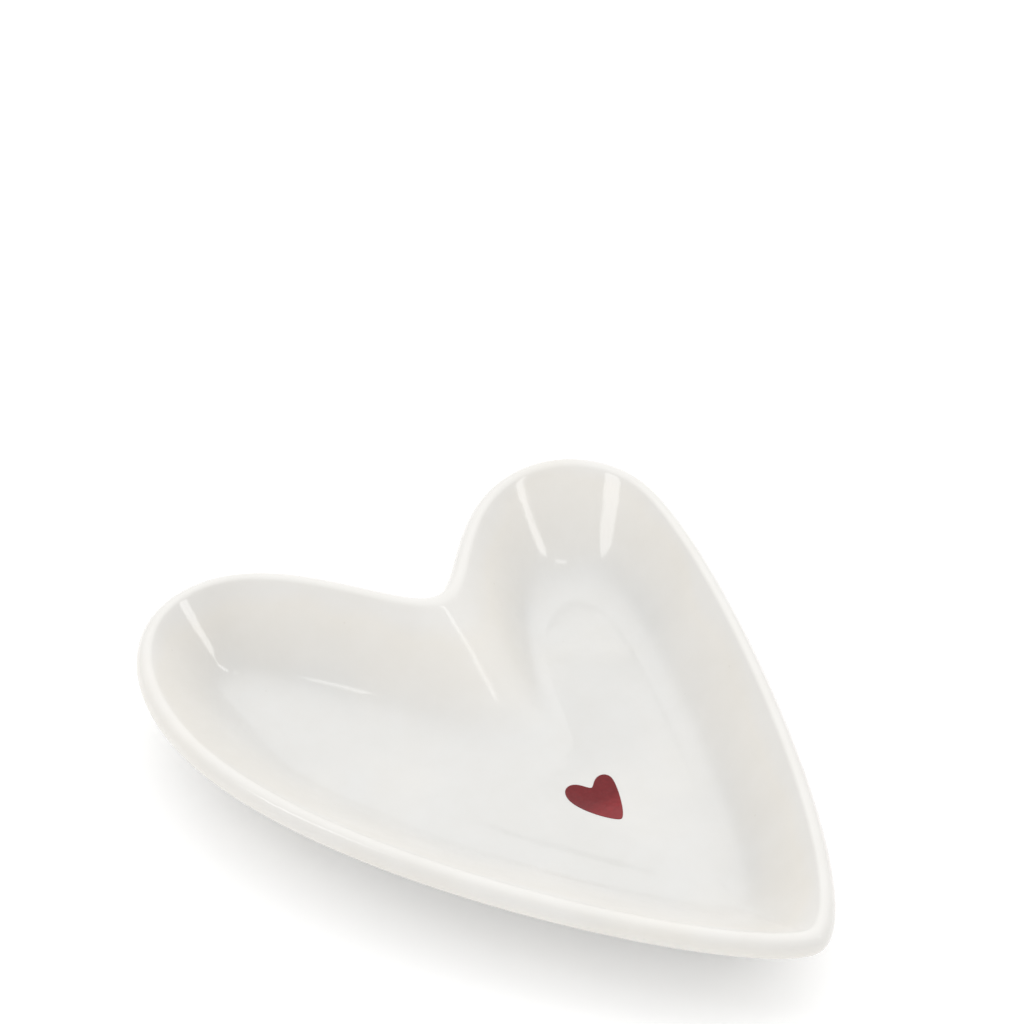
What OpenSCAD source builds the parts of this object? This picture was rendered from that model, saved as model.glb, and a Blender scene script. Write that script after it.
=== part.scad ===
// Heart-shaped trinket dish: a cast ceramic body under a coat of glass glaze, with a fired print.
// Millimetres. The origin is under the middle of the outline, on the surface the dish stands on.
// +Y runs from the tip towards the lobes, and +Z is up.

/* [Size] */
// Length from the tip to the top of the higher lobe
dish_length = 140; // [110:1:170]
// Width across the two lobes
dish_width = 113; // [90:1:137]
// Height of the rim's crest above the table
dish_height = 17.5; // [16.5:0.5:22]

/* [Rim and bowl] */
// Thickness of the rounded rim
rim_thickness = 4.4; // [3.6:0.1:5.2]
// Height of the glazed floor above the table
floor_height = 5; // [4.6:0.1:6]
// Where the wall turns into the floor, from 0 at the rim to 1 at the flat middle
knee_place = 0.66; // [0.55:0.01:0.7]
// How softly the wall turns into the floor
knee_softness = 0.17; // [0.08:0.01:0.22]
// How far the outside of the wall swells below a straight line
belly = 0.15; // [0:0.01:0.25]

/* [Foot ring] */
// Height of the foot ring, from the table to the recess inside it
foot_height = 1.5; // [1.2:0.1:1.8]
// Where the foot ring's outer side stands, on the same scale as the knee
foot_place = 0.62; // [0.5:0.01:0.66]
// Share of that scale that the foot ring takes up
foot_share = 0.15; // [0.1:0.01:0.18]

/* [Glaze and print] */
// Thickness of the glaze
glaze = 0.3; // [0.2:0.05:0.4]
// Length of the printed heart
print_length = 12; // [8:0.5:16]
// Thickness of the print
print_thickness = 0.1; // [0.05:0.05:0.2]
// Place of the print's middle to the right of the dish's middle
print_x = 2; // [-2:0.5:6]
// Place of the print's middle above the dish's middle, so below it when negative
print_y = -12.5; // [-16:0.5:-8]
// Turn of the print, counter-clockwise, in degrees
print_turn = -3.6; // [-20:0.2:20]

/* [Hidden] */

// The outline has six knots, counter-clockwise, each where the curve is furthest out or furthest in:
// right side, right lobe's crown, cleft, left lobe's crown, left side, tip.
// They are shares of half the width and half the length. The left lobe is the larger one.
RIM_KNOTS = [[1, 0.594], [0.683, 0.861], [0.069, 0.569], [-0.563, 1], [-1, 0.49], [0.046, -1]];
// The way the curve runs through each knot, in degrees
HEADINGS = [90, 180, 180, 180, 270, 0];
// How far the curve holds its heading after one knot and before the next, as shares of their distance
RIM_REACH = [[0.41, 0.415], [0.43, 0.155], [0.16, 0.44], [0.34, 0.465], [0.345, 0.1], [0.118, 0.19]];
// The flat middle of the floor is a smaller heart, drawn in the same way.
MIDDLE_KNOTS = [
    [0.575, 0.336], [0.5, 0.43], [0.049, -0.058], [-0.58, 0.67], [-0.548, 0.43], [0.1, -0.565]
];
MIDDLE_REACH = [[0.41, 0.415], [0.35, 0.165], [0.27, 0.075], [0.335, 0.46], [0.2, 0.02], [0.06, 0.14]];
// Points along each of the six curves
STEPS = [8, 10, 10, 10, 16, 16];
// A point of the floor that every part of the middle heart can be seen from, in the knots' shares
HUB = [-0.01, -0.385];

rim_radius = rim_thickness / 2;
rim_level = dish_height - rim_radius;
// Mean distance from the rim's crest to the flat middle
wall_run = 0.25 * dish_width;
// The slope at which the wall leaves the rim, inside and outside
inner_slope = 35;
outer_slope = 40;

function knots(shares) = [for (k = shares) [k.x * dish_width / 2, k.y * dish_length / 2]];
function way(angle) = [cos(angle), sin(angle)];
function cubic(a, b, c, d, t) =
    (1 - t) ^ 3 * a + 3 * t * (1 - t) ^ 2 * b + 3 * t ^ 2 * (1 - t) * c + t ^ 3 * d;

// Points once round a heart through the knots k.
function heart(k, reach) = [
    for (i = [0:5])
        let (
            a = k[i],
            d = k[(i + 1) % 6],
            far = norm(d - a),
            b = a + reach[i][0] * far * way(HEADINGS[i]),
            c = d - reach[i][1] * far * way(HEADINGS[(i + 1) % 6])
        )
        for (n = [0:STEPS[i] - 1]) cubic(a, b, c, d, n / STEPS[i])
];

// Unit vectors that point out of a counter-clockwise loop of points.
function outward(loop) = [
    for (i = [0:len(loop) - 1])
        let (along = loop[(i + 1) % len(loop)] - loop[(i + len(loop) - 1) % len(loop)])
        [along.y, -along.x] / norm(along)
];

rim = heart(knots(RIM_KNOTS), RIM_REACH);
middle = heart(knots(MIDDLE_KNOTS), MIDDLE_REACH);
rim_out = outward(rim);
COUNT = len(rim);

// A profile point is [share, inset, z]. Its level loop starts inset from the rim's outline, and
// share then draws it in towards the flat middle.
function level(p) = [
    for (i = [0:COUNT - 1])
        let (start = rim[i] - p[1] * rim_out[i], at = start + p[0] * (middle[i] - start))
        [at.x, at.y, p[2]]
];

// A profile point as it lies in the wall's cross-section, and the unit normal there.
function across(p) = [p[0] * wall_run + p[1], p[2]];
function normal(profile, i) =
    let (
        before = across(profile[max(i - 1, 0)]),
        after = across(profile[min(i + 1, len(profile) - 1)]),
        along = after - before
    )
    [-along.y, along.x] / norm(along);

// The profile moved sideways in its cross-section, into the clay.
function sunk(profile, depth) = [
    for (i = [0:len(profile) - 1])
        let (p = profile[i], n = i == 0 ? [0, -1] : normal(profile, i))
        [p[0], p[1] + depth * n[0], p[2] + depth * n[1]]
];

// A straight ramp that turns softly to level at x = 0, and its slope.
function ramp(x) = (x + sqrt(x ^ 2 + knee_softness ^ 2)) / 2;
function ramp_slope(x) = (1 + x / sqrt(x ^ 2 + knee_softness ^ 2)) / 2;

// How far the wall has risen at a share s: nothing at the flat middle, where it starts out level.
function climb(s) =
    ramp(knee_place - s) - ramp(knee_place - 1) - ramp_slope(knee_place - 1) * (1 - s);

// The bowl, from the flat middle out to where the rim's rounding begins.
rim_share = rim_radius * sin(inner_slope) / wall_run;
bowl_top = rim_level + rim_radius * cos(inner_slope);
bowl = [
    for (s = [1, 0.9, 0.8, 0.72, 0.65, 0.58, 0.5, 0.4, 0.28, 0.16])
        [s, rim_radius, floor_height + (bowl_top - floor_height) * climb(s) / climb(rim_share)]
];

// The rim's rounding, in the same direction: over the crest and down to the outside.
rim_inner = [
    for (a = [inner_slope, inner_slope / 2, 0])
        [rim_radius * sin(a) / wall_run, rim_radius, rim_level + rim_radius * cos(a)]
];
rim_outer = [
    for (a = [30:30:90]) [0, rim_radius * (1 - sin(a)), rim_level + rim_radius * cos(a)]
];
rim_under = [[rim_radius * (1 - sin(120)) / wall_run, 0, rim_level + rim_radius * cos(120)]];

// The outside of the wall, from under the rim to the top of the foot ring.
side_share = rim_radius * (1 - sin(outer_slope)) / wall_run;
side_top = rim_level - rim_radius * cos(outer_slope);
side_foot = foot_height + 0.6;
side = [
    for (x = [0:0.2:1])
        [
            side_share + (foot_place - side_share) * x,
            0,
            side_top - (side_top - side_foot) * x * (1 + belly * (1 - x))
        ]
];
foot_side = [[foot_place + 0.01, 0, foot_height / 2]];

glazed = concat(bowl, rim_inner, rim_outer, rim_under, side, foot_side);
clay = sunk(glazed, glaze);

// A closed solid through level loops of the same number of points. Each end is closed by triangles
// that meet at the hub.
module loft(profile) {
    last = len(profile) - 1;
    hub = knots([HUB])[0];
    loops = [for (p = profile) each level(p)];
    hubs = [[hub.x, hub.y, profile[0][2]], [hub.x, hub.y, profile[last][2]]];
    first_hub = len(loops);
    sides = [
        for (r = [0:last - 1], i = [0:COUNT - 1])
            let (j = (i + 1) % COUNT, a = r * COUNT, b = a + COUNT)
            each [[a + i, a + j, b + j], [a + i, b + j, b + i]]
    ];
    caps = [
        for (i = [0:COUNT - 1])
            let (j = (i + 1) % COUNT, b = last * COUNT)
            each [[j, i, first_hub], [b + i, b + j, first_hub + 1]]
    ];
    polyhedron(concat(loops, hubs), concat(sides, caps));
}

// The flat outline at a profile point.
module outline(p) {
    polygon([for (v = level(p)) [v.x, v.y]]);
}

// The bare foot ring, up to the underside of the bowl.
foot_outside = foot_place + 0.03;
foot_inside = foot_place + foot_share;
module foot_ring() {
    linear_extrude(foot_height + 0.5)
        difference() {
            outline([foot_outside, 0, 0]);
            outline([foot_inside, 0, 0]);
        }
}

// White clay, cast in one piece with its foot ring.
module ceramic_body() {
    color([0.93, 0.91, 0.87])
        union() {
            loft(concat(clay, [[foot_inside, 0, foot_height]]));
            foot_ring();
        }
}

// The glass coat over the inside, the rim and the outside.
module main_glaze() {
    color([0.96, 0.95, 0.93])
        loft(concat(glazed, [for (i = [len(clay) - 1:-1:0]) clay[i]]));
}

// The glass coat under the dish, inside the foot ring.
module base_glaze() {
    color([0.96, 0.95, 0.93])
        translate([0, 0, foot_height - glaze])
            linear_extrude(glaze)
                outline([foot_inside, 0, 0]);
}

// The small red heart printed on the floor: the dish's own outline, made small.
module heart_print() {
    color([0.55, 0.07, 0.12])
        translate([print_x, print_y, floor_height])
            rotate(print_turn)
                linear_extrude(print_thickness)
                    polygon(print_length / dish_length * rim);
}

ceramic_body();
main_glaze();
base_glaze();
heart_print();
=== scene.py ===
"""A heart-shaped trinket dish: white clay, a clear-white glass glaze and a small red printed heart.

Metres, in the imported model's frame: the origin is under the middle of the outline, +Y runs from the
tip to the lobes and +Z is up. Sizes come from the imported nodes. The shares below are the same ones
that the CAD part draws its outline and its wall from.
"""

import math

import bpy
import numpy as np
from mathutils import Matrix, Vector


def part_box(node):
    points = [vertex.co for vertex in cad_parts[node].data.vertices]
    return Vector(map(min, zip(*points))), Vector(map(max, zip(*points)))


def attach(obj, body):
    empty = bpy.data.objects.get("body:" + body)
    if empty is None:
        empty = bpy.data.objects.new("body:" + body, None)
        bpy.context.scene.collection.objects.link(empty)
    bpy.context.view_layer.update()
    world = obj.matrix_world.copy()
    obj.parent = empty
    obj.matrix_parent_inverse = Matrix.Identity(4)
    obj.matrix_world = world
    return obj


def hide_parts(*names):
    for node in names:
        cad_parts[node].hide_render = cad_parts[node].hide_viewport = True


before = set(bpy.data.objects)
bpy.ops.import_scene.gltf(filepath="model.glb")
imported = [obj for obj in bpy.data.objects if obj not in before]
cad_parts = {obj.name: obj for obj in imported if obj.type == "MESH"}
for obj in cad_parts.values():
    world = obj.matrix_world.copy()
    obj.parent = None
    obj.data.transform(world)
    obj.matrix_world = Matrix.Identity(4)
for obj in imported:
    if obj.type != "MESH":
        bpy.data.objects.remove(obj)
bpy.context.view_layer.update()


# ---------------------------------------------------------------- sizes from the frame

glaze_low, glaze_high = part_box("main_glaze")
base_low, base_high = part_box("base_glaze")
print_low, print_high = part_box("heart_print")

WIDTH = glaze_high.x - glaze_low.x
LENGTH = glaze_high.y - glaze_low.y
HEIGHT = glaze_high.z
FLOOR = print_low.z
FOOT = base_high.z
GLAZE = base_high.z - base_low.z
PRINT_THICKNESS = print_high.z - print_low.z
PRINT_MIDDLE = (print_low + print_high) / 2
# Turn of the print, counter-clockwise, in degrees
PRINT_TURN = -3.6

# The rim's thickness, as a share of the width
RIM_THICKNESS = 0.039
RIM_RADIUS = RIM_THICKNESS * WIDTH / 2
RIM_LEVEL = HEIGHT - RIM_RADIUS


# ---------------------------------------------------------------- the heart's outline

# Each heart has six knots, counter-clockwise, where its curve is furthest out or furthest in: right
# side, right lobe's crown, cleft, left lobe's crown, left side, tip. They are shares of half the
# width and half the length. The two reaches of a knot say how far the curve holds its heading after
# that knot and before the next one, as shares of the distance between them.
HEADINGS = [90, 180, 180, 180, 270, 0]
RIM_KNOTS = [(1, 0.594), (0.683, 0.861), (0.069, 0.569), (-0.563, 1), (-1, 0.49), (0.046, -1)]
RIM_REACH = [(0.41, 0.415), (0.43, 0.155), (0.16, 0.44), (0.34, 0.465), (0.345, 0.1), (0.118, 0.19)]
MIDDLE_KNOTS = [
    (0.575, 0.336), (0.5, 0.43), (0.049, -0.058), (-0.58, 0.67), (-0.548, 0.43), (0.1, -0.565),
]
MIDDLE_REACH = [(0.41, 0.415), (0.35, 0.165), (0.27, 0.075), (0.335, 0.46), (0.2, 0.02), (0.06, 0.14)]
POINTS_PER_CURVE = 56


def heart(knots, reach):
    """Points once round a heart, as an array of x and y."""
    spots = np.array(knots) * (WIDTH / 2, LENGTH / 2)
    ways = [np.array((math.cos(math.radians(h)), math.sin(math.radians(h)))) for h in HEADINGS]
    t = np.linspace(0, 1, POINTS_PER_CURVE, endpoint=False)[:, None]
    curves = []
    for i in range(len(spots)):
        j = (i + 1) % len(spots)
        start, end = spots[i], spots[j]
        far = np.linalg.norm(end - start)
        leave = start + reach[i][0] * far * ways[i]
        arrive = end - reach[i][1] * far * ways[j]
        curves.append(
            (1 - t) ** 3 * start
            + 3 * t * (1 - t) ** 2 * leave
            + 3 * t**2 * (1 - t) * arrive
            + t**3 * end
        )
    return np.vstack(curves)


def outward(loop):
    """Unit vectors that point out of a counter-clockwise loop."""
    along = np.roll(loop, -1, axis=0) - np.roll(loop, 1, axis=0)
    out = np.column_stack((along[:, 1], -along[:, 0]))
    return out / np.linalg.norm(out, axis=1)[:, None]


# A point of the floor that every part of the middle heart can be seen from
HUB = np.array((-0.01, -0.385)) * (WIDTH / 2, LENGTH / 2)

RIM = heart(RIM_KNOTS, RIM_REACH)
MIDDLE = heart(MIDDLE_KNOTS, MIDDLE_REACH)
RIM_OUT = outward(RIM)


# ---------------------------------------------------------------- the wall's profile

# A profile point is (share, inset, z). Its level loop starts inset from the rim's outline, and share
# then draws it in towards the flat middle.

# Mean distance from the rim's crest to the flat middle
WALL_RUN = 0.25 * WIDTH
# The share at which the wall turns into the floor, and how softly it turns
KNEE_PLACE = 0.66
KNEE_SOFTNESS = 0.17
# The slope at which the wall leaves the rim, inside and outside
INNER_SLOPE = math.radians(35)
OUTER_SLOPE = math.radians(40)
# How far the outside of the wall swells below a straight line
BELLY = 0.15
# The shares of the wall's lower end, of the glaze's edge on the foot ring, and of the ring's sides
FOOT_PLACE = 0.62
GLAZE_EDGE = FOOT_PLACE + 0.01
FOOT_OUTSIDE = FOOT_PLACE + 0.03
FOOT_INSIDE = FOOT_PLACE + 0.15
# The level of the wall's lower end
SIDE_FOOT = FOOT + 0.0006
# Radius of the foot ring's rubbed edges
FOOT_EDGE = 0.0005


def ramp(x):
    """A straight ramp that turns softly to level at x = 0."""
    return (x + math.hypot(x, KNEE_SOFTNESS)) / 2


def ramp_slope(x):
    """The ramp's slope, from 0 well before x = 0 to 1 well after it."""
    return (1 + x / math.hypot(x, KNEE_SOFTNESS)) / 2


def climb(share):
    """How far the wall has risen at a share: nothing at the flat middle, where it starts out level."""
    level = ramp(KNEE_PLACE - 1) + ramp_slope(KNEE_PLACE - 1) * (1 - share)
    return ramp(KNEE_PLACE - share) - level


def bowl():
    """The inside of the bowl, from the flat middle out to where the rim's rounding begins."""
    rim_share = RIM_RADIUS * math.sin(INNER_SLOPE) / WALL_RUN
    rise = RIM_LEVEL + RIM_RADIUS * math.cos(INNER_SLOPE) - FLOOR
    shares = np.linspace(1, rim_share, 44, endpoint=False)
    return [(s, RIM_RADIUS, FLOOR + rise * climb(s) / climb(rim_share)) for s in shares]


def rim_rounding():
    """Over the rim's crest, from the inside of the bowl round to under the rim."""
    inside = [
        (RIM_RADIUS * math.sin(a) / WALL_RUN, RIM_RADIUS, RIM_LEVEL + RIM_RADIUS * math.cos(a))
        for a in np.linspace(INNER_SLOPE, 0, 8, endpoint=False)
    ]
    outside = [
        (0, RIM_RADIUS * (1 - math.sin(a)), RIM_LEVEL + RIM_RADIUS * math.cos(a))
        for a in np.linspace(0, math.pi / 2, 16, endpoint=False)
    ]
    under = [
        (RIM_RADIUS * (1 - math.sin(a)) / WALL_RUN, 0, RIM_LEVEL + RIM_RADIUS * math.cos(a))
        for a in np.linspace(math.pi / 2, math.pi - OUTER_SLOPE, 10, endpoint=False)
    ]
    return inside + outside + under


def outer_side():
    """The outside of the wall, from under the rim to the top of the foot ring."""
    side_share = RIM_RADIUS * (1 - math.sin(OUTER_SLOPE)) / WALL_RUN
    side_top = RIM_LEVEL - RIM_RADIUS * math.cos(OUTER_SLOPE)
    drop = side_top - SIDE_FOOT
    return [
        (side_share + (FOOT_PLACE - side_share) * x, 0, side_top - drop * x * (1 + BELLY * (1 - x)))
        for x in np.linspace(0, 1, 24)
    ]


def across(point):
    """A profile point as it lies in the wall's cross-section."""
    return np.array((point[0] * WALL_RUN + point[1], point[2]))


def sunk(profile, depth):
    """The profile moved into the clay, at right angles to the glazed surface."""
    moved = []
    for i, (share, inset, z) in enumerate(profile):
        along = across(profile[min(i + 1, len(profile) - 1)]) - across(profile[max(i - 1, 0)])
        side = np.array((-along[1], along[0])) / np.linalg.norm(along)
        if i == 0:
            side = np.array((0, -1))
        moved.append((share, inset + depth * side[0], z + depth * side[1]))
    return moved


# ---------------------------------------------------------------- meshes

def level_loop(point):
    """The level loop at a profile point, as an array of x, y and z."""
    share, inset, z = point
    start = RIM - inset * RIM_OUT
    at = start + share * (MIDDLE - start)
    return np.column_stack((at, np.full(len(at), z)))


def closed_piece(name, loops, hub):
    """A smooth-shaded mesh object through level loops that run from the top of the piece outwards and
    down. A fan of triangles to the hub closes each end."""
    count = len(loops[0])
    last = (len(loops) - 1) * count
    first_hub = len(loops) * count
    points = np.vstack(loops + [[(*hub, loops[0][0, 2]), (*hub, loops[-1][0, 2])]])
    faces = []
    for row in range(len(loops) - 1):
        for i in range(count):
            j = (i + 1) % count
            a, b = row * count, (row + 1) * count
            faces.append((a + i, a + j, b + j, b + i))
    for i in range(count):
        j = (i + 1) % count
        faces.append((j, i, first_hub))
        faces.append((last + i, last + j, first_hub + 1))
    mesh = bpy.data.meshes.new(name)
    mesh.from_pydata([tuple(p) for p in points], [], faces)
    mesh.update()
    piece = bpy.data.objects.new(name, mesh)
    bpy.context.scene.collection.objects.link(piece)
    # The faces above run clockwise as seen from outside.
    mesh.flip_normals()
    mesh.shade_smooth()
    return piece


def loft(name, profile):
    """The closed piece through a profile's level loops."""
    return closed_piece(name, [level_loop(p) for p in profile], HUB)


def finish_piece(piece, material, node):
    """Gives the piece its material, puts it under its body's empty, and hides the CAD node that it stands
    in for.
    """
    piece.data.materials.append(material)
    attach(piece, "root")
    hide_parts(node)


def make_glaze_coat():
    """The glass coat over the bowl, the rim and the outside, ending in a round bead on the foot ring."""
    surface = bowl() + rim_rounding() + outer_side()
    surface.append((GLAZE_EDGE, 0, FOOT * 0.75))
    clay_side = sunk(surface, GLAZE)
    bead_width = GLAZE / WALL_RUN
    bead_level = FOOT / 2 + GLAZE
    bead = [
        (GLAZE_EDGE + bead_width / 2 * (1 - math.cos(a)), 0, bead_level - GLAZE * math.sin(a))
        for a in np.linspace(0, math.pi, 9)
    ]
    return loft("glaze_coat", surface + bead + clay_side[::-1])


def make_clay():
    """The clay under the glaze, and the bare foot ring with its rubbed, rounded edges."""
    surface = bowl() + rim_rounding() + outer_side()
    edge_share = FOOT_EDGE / WALL_RUN
    ring = [
        (FOOT_OUTSIDE + edge_share * (1 - math.cos(a)), 0, FOOT_EDGE * (1 - math.sin(a)))
        for a in np.linspace(0, math.pi / 2, 7)
    ]
    ring += [(FOOT_OUTSIDE + (FOOT_INSIDE - FOOT_OUTSIDE) * x, 0, 0) for x in (0.3, 0.5, 0.7)]
    ring += [
        (FOOT_INSIDE - edge_share * (1 - math.sin(a)), 0, FOOT_EDGE * (1 - math.cos(a)))
        for a in np.linspace(0, math.pi / 2, 7)
    ]
    recess = [(FOOT_INSIDE, 0, FOOT * 0.6), (FOOT_INSIDE, 0, FOOT), (FOOT_INSIDE + 0.02, 0, FOOT)]
    return loft("clay_body", sunk(surface, GLAZE) + ring + recess)


def make_base_glaze():
    """The glass coat inside the foot ring, which thickens downwards in a curve where it meets the ring."""
    curl_share = 0.035
    curl_depth = 0.6 * GLAZE
    curl = [
        (FOOT_INSIDE + curl_share * (1 - x), 0, base_low.z - curl_depth * x**2)
        for x in np.linspace(0, 1, 9)
    ]
    profile = [(FOOT_INSIDE, 0, FOOT)] + curl[::-1] + [(1, 0, base_low.z)]
    return loft("base_glaze_coat", profile)


def make_print():
    """The printed heart: the dish's own outline made small, slightly raised, its edge rounded over."""
    turn = math.radians(PRINT_TURN)
    spin = np.array(((math.cos(turn), -math.sin(turn)), (math.sin(turn), math.cos(turn))))
    turned = RIM @ spin.T
    size = (print_high.y - print_low.y) / (turned[:, 1].max() - turned[:, 1].min())
    outline = turned * size
    outline += (np.array(PRINT_MIDDLE.xy) - (outline.max(axis=0) + outline.min(axis=0)) / 2)
    out = outward(outline)
    rows = [(0, print_low.z)]
    rows += [
        (PRINT_THICKNESS * (1 - math.cos(a)), print_low.z + PRINT_THICKNESS * math.sin(a))
        for a in np.linspace(0.3, math.pi / 2, 6)
    ]
    # One more level row keeps the rounding's shading off the flat top.
    rows.append((2 * PRINT_THICKNESS, print_high.z))
    loops = [np.column_stack((outline - inset * out, np.full(len(out), z))) for inset, z in rows]
    return closed_piece("printed_heart", loops[::-1], outline.mean(axis=0))


# ---------------------------------------------------------------- materials

def nodes_of(name):
    """A new material, its node tree, its shader, and the place on the object as a socket."""
    material = bpy.data.materials.new(name)
    material.use_nodes = True
    tree = material.node_tree
    tree.nodes.clear()
    out = tree.nodes.new("ShaderNodeOutputMaterial")
    shader = tree.nodes.new("ShaderNodeBsdfPrincipled")
    tree.links.new(shader.outputs["BSDF"], out.inputs["Surface"])
    place = tree.nodes.new("ShaderNodeTexCoord")
    return material, tree, shader, place.outputs["Object"]


def noise(tree, place, scale, detail=3.0, roughness=0.5):
    """Grey noise whose features are about 1 / scale metres across."""
    node = tree.nodes.new("ShaderNodeTexNoise")
    tree.links.new(place, node.inputs["Vector"])
    node.inputs["Scale"].default_value = scale
    node.inputs["Detail"].default_value = detail
    node.inputs["Roughness"].default_value = roughness
    return node.outputs["Fac"]


def colour_ramp(tree, value, stops):
    """A colour ramp: stops are (position, colour)."""
    node = tree.nodes.new("ShaderNodeValToRGB")
    tree.links.new(value, node.inputs["Fac"])
    elements = node.color_ramp.elements
    while len(elements) < len(stops):
        elements.new(0.5)
    for element, (position, colour) in zip(elements, stops):
        element.position = position
        element.color = (*colour, 1)
    return node.outputs["Color"]


def spread(tree, value, low, high, to_low, to_high):
    """Maps the value's range low..high to to_low..to_high."""
    node = tree.nodes.new("ShaderNodeMapRange")
    tree.links.new(value, node.inputs["Value"])
    for socket, number in zip(("From Min", "From Max", "To Min", "To Max"), (low, high, to_low, to_high)):
        node.inputs[socket].default_value = number
    return node.outputs["Result"]


def mixed(tree, kind, factor, first, second):
    """Two colours mixed. The factor is a number or a socket."""
    node = tree.nodes.new("ShaderNodeMix")
    node.data_type = "RGBA"
    node.blend_type = kind
    if isinstance(factor, float):
        node.inputs["Factor"].default_value = factor
    else:
        tree.links.new(factor, node.inputs["Factor"])
    slots = [s for s in node.inputs if s.type == "RGBA"]
    for socket, colour in zip(slots, (first, second)):
        if isinstance(colour, tuple):
            socket.default_value = (*colour, 1)
        else:
            tree.links.new(colour, socket)
    return [s for s in node.outputs if s.type == "RGBA"][0]


def bump(tree, height, distance, strength, before=None):
    """A surface normal roughened by the height, on top of the normal before it."""
    node = tree.nodes.new("ShaderNodeBump")
    tree.links.new(height, node.inputs["Height"])
    node.inputs["Distance"].default_value = distance
    node.inputs["Strength"].default_value = strength
    if before is not None:
        tree.links.new(before, node.inputs["Normal"])
    return node.outputs["Normal"]


def coordinate(tree, place, axis):
    """The place's coordinate along X, Y or Z."""
    node = tree.nodes.new("ShaderNodeSeparateXYZ")
    tree.links.new(place, node.inputs["Vector"])
    return node.outputs[axis]


def pits(tree, place, scale, radius):
    """1 at the middle of a small round spot in each Voronoi cell, and 0 from its radius, in cells."""
    node = tree.nodes.new("ShaderNodeTexVoronoi")
    tree.links.new(place, node.inputs["Vector"])
    node.inputs["Scale"].default_value = scale
    return spread(tree, node.outputs["Distance"], 0.0, radius, 1.0, 0.0)


def glaze_material():
    """White glaze whose brightness by height is painted light: darker on the floor and lighter up the
    walls to the rim, evening out how the light falls. It is also cooler on the floor and warmer on the
    walls, with a few faint iron specks.
    """
    material, tree, shader, place = nodes_of("white_glaze_with_painted_light")
    # Painted light: the tone follows height, darker on the floor and lighter up the walls and rim, to even
    # out how the light falls there.
    height = spread(tree, coordinate(tree, place, "Z"), FLOOR, HEIGHT, 0.0, 1.0)
    wander = spread(tree, noise(tree, place, 38, 2), 0.3, 0.7, -0.16, 0.16)
    add = tree.nodes.new("ShaderNodeMath")
    add.operation = "ADD"
    tree.links.new(height, add.inputs[0])
    tree.links.new(wander, add.inputs[1])
    tone = colour_ramp(tree, add.outputs["Value"], [
        (0.02, (0.705, 0.702, 0.686)),
        (0.3, (0.752, 0.739, 0.71)),
        (0.8, (0.79, 0.768, 0.725)),
        (0.97, (0.785, 0.772, 0.745)),
    ])
    cloud = colour_ramp(tree, noise(tree, place, 90, 4, 0.6), [
        (0.3, (0.97, 0.965, 0.955)),
        (0.7, (1.0, 1.0, 1.0)),
    ])
    tone = mixed(tree, "MULTIPLY", 1.0, tone, cloud)
    speck = pits(tree, place, 130, 0.035)
    tone = mixed(tree, "MIX", spread(tree, speck, 0.0, 1.0, 0.0, 0.2), tone, (0.42, 0.36, 0.29))
    tree.links.new(tone, shader.inputs["Base Color"])
    gloss = spread(tree, noise(tree, place, 55, 3), 0.3, 0.7, 0.05, 0.1)
    tree.links.new(gloss, shader.inputs["Roughness"])
    shader.inputs["IOR"].default_value = 1.52
    wave = bump(tree, noise(tree, place, 75, 1.5, 0.4), 0.00035, 0.35)
    peel = bump(tree, noise(tree, place, 420, 2), 0.00003, 0.35, wave)
    tree.links.new(peel, shader.inputs["Normal"])
    return material


def clay_material():
    """Bare fired clay: matt, warm, fine-grained, with a few darker grains."""
    material, tree, shader, place = nodes_of("bare_clay")
    tone = colour_ramp(tree, noise(tree, place, 300, 6, 0.65), [
        (0.3, (0.56, 0.52, 0.455)),
        (0.7, (0.66, 0.625, 0.565)),
    ])
    grain = pits(tree, place, 900, 0.16)
    tone = mixed(tree, "MIX", spread(tree, grain, 0.0, 1.0, 0.0, 0.5), tone, (0.36, 0.3, 0.23))
    tree.links.new(tone, shader.inputs["Base Color"])
    tree.links.new(
        spread(tree, noise(tree, place, 500, 4), 0.3, 0.7, 0.72, 0.92), shader.inputs["Roughness"]
    )
    tree.links.new(bump(tree, noise(tree, place, 2600, 4, 0.7), 0.0001, 0.6), shader.inputs["Normal"])
    return material


def print_material():
    """Red ceramic ink under a thin flux: mottled, glossy, with pale pinholes and a painted highlight that
    lightens the ink over the tip.
    """
    material, tree, shader, place = nodes_of("red_print")
    ink = colour_ramp(tree, noise(tree, place, 1400, 4, 0.6), [
        (0.3, (0.14, 0.0045, 0.0075)),
        (0.7, (0.17, 0.0065, 0.01)),
    ])
    # Painted highlight: the ink is lighter over the tip and fades back to full red over the 3 mm below the
    # print's middle.
    ink_with_painted_highlight = mixed(tree, "MULTIPLY", 1.0, ink, (1.45, 1.3, 1.3))
    painted_highlight_fade_start = PRINT_MIDDLE.y - 0.003
    lobes = spread(tree, coordinate(tree, place, "Y"), painted_highlight_fade_start, PRINT_MIDDLE.y, 0.0, 1.0)
    tone = mixed(tree, "MIX", lobes, ink_with_painted_highlight, ink)
    hole = pits(tree, place, 900, 0.07)
    tone = mixed(tree, "MIX", spread(tree, hole, 0.0, 1.0, 0.0, 0.1), tone, (0.6, 0.45, 0.42))
    tree.links.new(tone, shader.inputs["Base Color"])
    tree.links.new(
        spread(tree, noise(tree, place, 700, 3), 0.3, 0.7, 0.02, 0.05), shader.inputs["Roughness"]
    )
    tree.links.new(bump(tree, noise(tree, place, 500, 2), 0.000004, 0.5), shader.inputs["Normal"])
    shader.inputs["IOR"].default_value = 1.42
    return material


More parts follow.
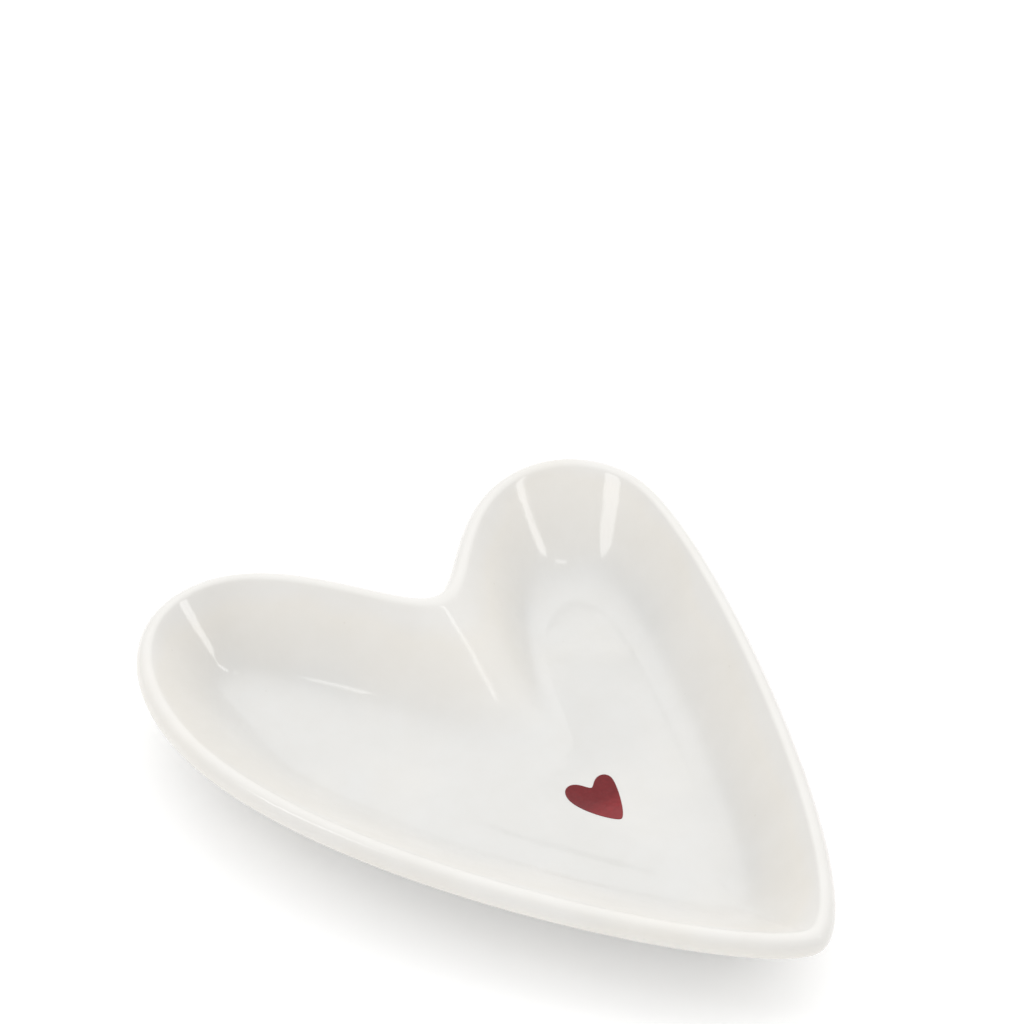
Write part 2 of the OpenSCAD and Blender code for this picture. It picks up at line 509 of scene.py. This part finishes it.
def table_material():
    """A pale matt table that glows a little, so that it shows white outside the dish's shadow."""
    material, tree, shader, place = nodes_of("pale_table")
    tone = colour_ramp(tree, noise(tree, place, 3, 3), [
        (0.3, (0.93, 0.93, 0.93)),
        (0.7, (0.95, 0.95, 0.95)),
    ])
    tree.links.new(tone, shader.inputs["Base Color"])
    tree.links.new(tone, shader.inputs["Emission Color"])
    shader.inputs["Emission Strength"].default_value = 0.12
    shader.inputs["Roughness"].default_value = 0.9
    shader.inputs["Specular IOR Level"].default_value = 0.1
    return material


# ---------------------------------------------------------------- the object

glaze = glaze_material()
clay = clay_material()
finish_piece(make_clay(), clay, "ceramic_body")
finish_piece(make_glaze_coat(), glaze, "main_glaze")
finish_piece(make_base_glaze(), glaze, "base_glaze")
finish_piece(make_print(), print_material(), "heart_print")


# ---------------------------------------------------------------- the table, the lamps and the camera

CAMERA_AZIMUTH = -37.42
CAMERA_ELEVATION = 39.53
CAMERA_DISTANCE = 0.6215
LOOK_AT = Vector((0.04339, 0.06781, -0.0015))
# In millimetres, as Blender has them
SENSOR_WIDTH = 36
LENS = 107.55
# Half the table's side
TABLE_HALF = 3


def direction(azimuth, elevation):
    """Unit vector from the object. Azimuth 0 is -Y and 90 is +X, in degrees."""
    a, e = math.radians(azimuth), math.radians(elevation)
    return Vector((math.sin(a) * math.cos(e), -math.cos(a) * math.cos(e), math.sin(e)))


def make_table():
    """The flat surface that the dish stands on."""
    points = [(x * TABLE_HALF, y * TABLE_HALF, 0) for x, y in ((-1, -1), (1, -1), (1, 1), (-1, 1))]
    mesh = bpy.data.meshes.new("table")
    mesh.from_pydata(points, [], [(0, 1, 2, 3)])
    table = bpy.data.objects.new("table", mesh)
    mesh.materials.append(table_material())
    bpy.context.scene.collection.objects.link(table)


def patch(tree, place, side, elevation, inner, outer, change):
    """A round patch of the room, seen in one direction: change inside inner degrees, 0 past outer."""
    toward = tree.nodes.new("ShaderNodeVectorMath")
    toward.operation = "DOT_PRODUCT"
    toward.inputs[1].default_value = direction(CAMERA_AZIMUTH + side, elevation)
    tree.links.new(place, toward.inputs[0])
    fade = tree.nodes.new("ShaderNodeMapRange")
    fade.interpolation_type = "SMOOTHSTEP"
    fade.inputs["From Min"].default_value = math.cos(math.radians(outer))
    fade.inputs["From Max"].default_value = math.cos(math.radians(inner))
    fade.inputs["To Min"].default_value = 0
    fade.inputs["To Max"].default_value = change
    tree.links.new(toward.outputs["Value"], fade.inputs["Value"])
    return fade.outputs["Result"]


def make_world(brightness, patches):
    """An even pale room with round brighter and darker patches, as a studio's walls have."""
    world = bpy.data.worlds.new("studio")
    world.use_nodes = True
    tree = world.node_tree
    background = tree.nodes["Background"]
    background.inputs["Color"].default_value = (1, 1, 1, 1)
    place = tree.nodes.new("ShaderNodeTexCoord").outputs["Generated"]
    total = None
    for row in patches:
        add = tree.nodes.new("ShaderNodeMath")
        add.operation = "ADD"
        if total is None:
            add.inputs[0].default_value = brightness
        else:
            tree.links.new(total, add.inputs[0])
        tree.links.new(patch(tree, place, *row), add.inputs[1])
        total = add.outputs["Value"]
    tree.links.new(total, background.inputs["Strength"])
    bpy.context.scene.world = world


def softbox(name, side, elevation, wide, tall, brightness, distance=1.0):
    """A rectangular lamp that faces the dish. side is its azimuth to the right of the camera's, wide
    and tall are the angles it fills as the dish sees it, and brightness is its radiance."""
    lamp = bpy.data.lights.new(name, "AREA")
    lamp.shape = "RECTANGLE"
    lamp.size = 2 * distance * math.tan(math.radians(wide / 2))
    lamp.size_y = 2 * distance * math.tan(math.radians(tall / 2))
    lamp.energy = brightness * math.pi * lamp.size * lamp.size_y
    holder = bpy.data.objects.new(name, lamp)
    to_lamp = direction(CAMERA_AZIMUTH + side, elevation)
    holder.location = to_lamp * distance
    holder.rotation_euler = (-to_lamp).to_track_quat("-Z", "Y").to_euler()
    holder.visible_camera = False
    bpy.context.scene.collection.objects.link(holder)


def make_camera():
    """The camera, at the photograph's viewing angle."""
    data = bpy.data.cameras.new("camera")
    data.sensor_width = SENSOR_WIDTH
    data.lens = LENS
    data.clip_start = 0.01
    data.clip_end = 20
    camera = bpy.data.objects.new("camera", data)
    back = direction(CAMERA_AZIMUTH, CAMERA_ELEVATION)
    camera.location = LOOK_AT + back * CAMERA_DISTANCE
    camera.rotation_euler = (-back).to_track_quat("-Z", "Y").to_euler()
    bpy.context.scene.collection.objects.link(camera)
    bpy.context.scene.camera = camera


ROOM_BRIGHTNESS = 0.76
# Each patch is (side, elevation, inner, outer, change), the first four in degrees.
ROOM_PATCHES = [
    # A small dark spot across from the camera, which the print's lobes mirror and its tip doesn't
    (177.8, 43.55, 1.3, 1.6, -0.75),
    # The brighter part of the room across from the camera, low and high
    (176, 40, 5, 60, 0.45),
    (172, 66, 8, 50, 0.45),
    # A faint part low in front, to the left of the camera
    (-28, 6, 5, 40, 0.1),
    # A brighter part high to the left
    (-60, 50, 5, 60, 0.2),
]

make_table()
make_world(ROOM_BRIGHTNESS, ROOM_PATCHES)
# In this order, these draw the streak on the left lobe, the left one on the right lobe, and the one
# beside the cleft.
softbox("right_strip_foot", 87.5, 37, 8, 8, 3.4, distance=4)
softbox("right_strip_low", 94, 49.5, 3.5, 15, 3.6, distance=4)
softbox("right_strip_high", 98.5, 73, 2.6, 12, 2.4, distance=4)
# This one draws the right streak on the right lobe, and a short line low on the left lobe's wall.
softbox("left_strip", -85, 55, 7.5, 18, 2.8)
make_camera()
# The plain view transform, which lets the table reach white
bpy.context.scene.view_settings.view_transform = "Standard"
